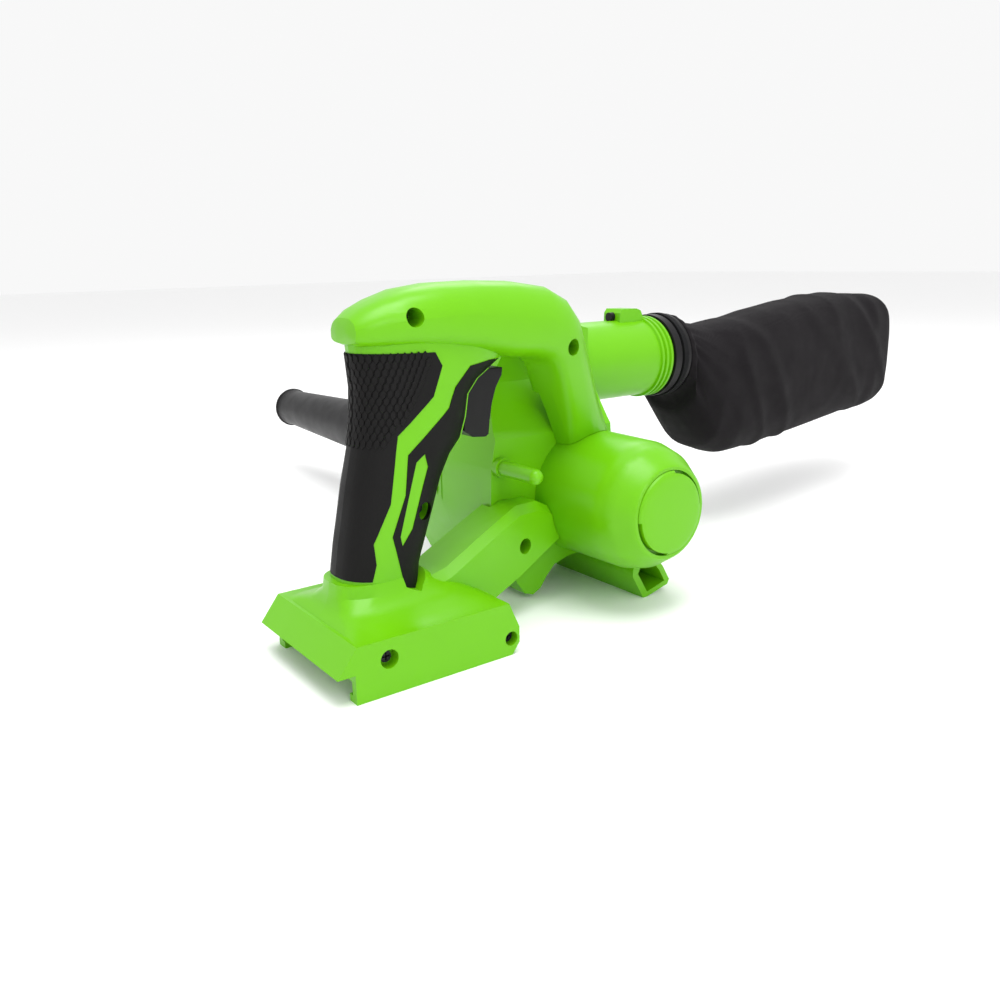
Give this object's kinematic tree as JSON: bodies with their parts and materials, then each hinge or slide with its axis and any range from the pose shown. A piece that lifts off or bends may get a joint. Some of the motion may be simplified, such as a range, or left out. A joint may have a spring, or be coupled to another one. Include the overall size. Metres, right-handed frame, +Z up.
{
  "type": "cordless leaf blower",
  "caption": "Hand-held blower with a D-shaped trigger handle, battery dock, side motor barrel, scroll fan housing, tapered side suction tube and black dust bag.",
  "frame": {"origin": "on the ground under the middle of the whole object's box", "axes": "+Z up, +Y along the air jet and the dust bag, +X towards the motor side; the suction tube points along -X"},
  "size_m": [0.484, 0.5816, 0.181],
  "materials": {
    "green_shell": "satin injection-moulded ABS, lime green",
    "grip_rubber": "matte overmoulded TPE, textured",
    "black_plastic": "satin black",
    "bag_fabric": "plain-woven polyester, black",
    "band_elastic": "woven elastic",
    "steel": "zinc-plated steel",
    "black_steel": "black-oxide steel",
    "can_steel": "zinc-plated motor can",
    "magnet": "ferrite",
    "copper": "enamelled copper",
    "brass": "brass",
    "board": "solder-masked board",
    "phenolic": "phenolic",
    "wire_red": "PVC insulation"
  },
  "bodies": {
    "housing": {"handle_right": "green_shell", "handle_left": "green_shell", "grip_pad_rear_right": "grip_rubber", "grip_pad_rear_left": "grip_rubber", "grip_pad_front_right": "grip_rubber", "grip_pad_front_left": "grip_rubber", "trigger_spring": "steel", "trigger_switch": "black_plastic", "speed_board": "board", "terminal_block": "black_plastic", "contact_blades": "brass", "handle_screws": "black_steel", "dock_screws": "black_steel", "motor_leads": "wire_red", "volute_right": "green_shell", "volute_left": "green_shell", "volute_screws": "steel", "outlet_tube": "green_shell", "latch_spring": "steel", "motor_barrel": "green_shell", "end_cap": "green_shell", "motor_can": "can_steel", "field_magnets": "magnet", "brush_plate": "phenolic", "motor_bearings": "steel", "motor_screws": "steel", "inlet_socket": "black_plastic", "inlet_guard": "black_plastic", "stand_foot": "green_shell", "foot_screws": "steel"},
    "trigger": {"trigger": "black_plastic"},
    "latch": {"latch_button": "black_plastic"},
    "rotor": {"armature_stack": "can_steel", "armature_coils": "copper", "commutator": "copper", "motor_shaft": "steel", "impeller": "black_plastic", "impeller_nut": "steel"},
    "suction": {"suction_tube": "black_plastic"},
    "bag": {"bag_collar": "black_plastic", "bag_band": "band_elastic", "dust_bag": "bag_fabric"}
  },
  "joints": [
    {"name": "trigger_pull", "type": "slide", "parent": "housing", "child": "trigger", "axis": [0, -1, 0], "range_m": [0, 0.006], "stiffness_N_per_m": 400, "springref_m": -0.002, "deforming": ["trigger_spring"]},
    {"name": "latch_press", "type": "slide", "parent": "housing", "child": "latch", "axis": [0, 1, 0], "range_m": [0, 0.002], "stiffness_N_per_m": 300, "springref_m": -0.002, "deforming": ["latch_spring"]},
    {"name": "fan_spin", "type": "hinge", "parent": "housing", "child": "rotor", "pos_m": [0.182, -0.1018, 0.0592], "axis": [1, 0, 0], "continuous": true},
    {"name": "tube_pull", "type": "slide", "parent": "housing", "child": "suction", "axis": [-1, 0, 0], "range_m": [0, 0.02]},
    {"name": "bag_pull", "type": "slide", "parent": "housing", "child": "bag", "axis": [0, 1, 0], "range_m": [0, 0.012]}
  ]
}
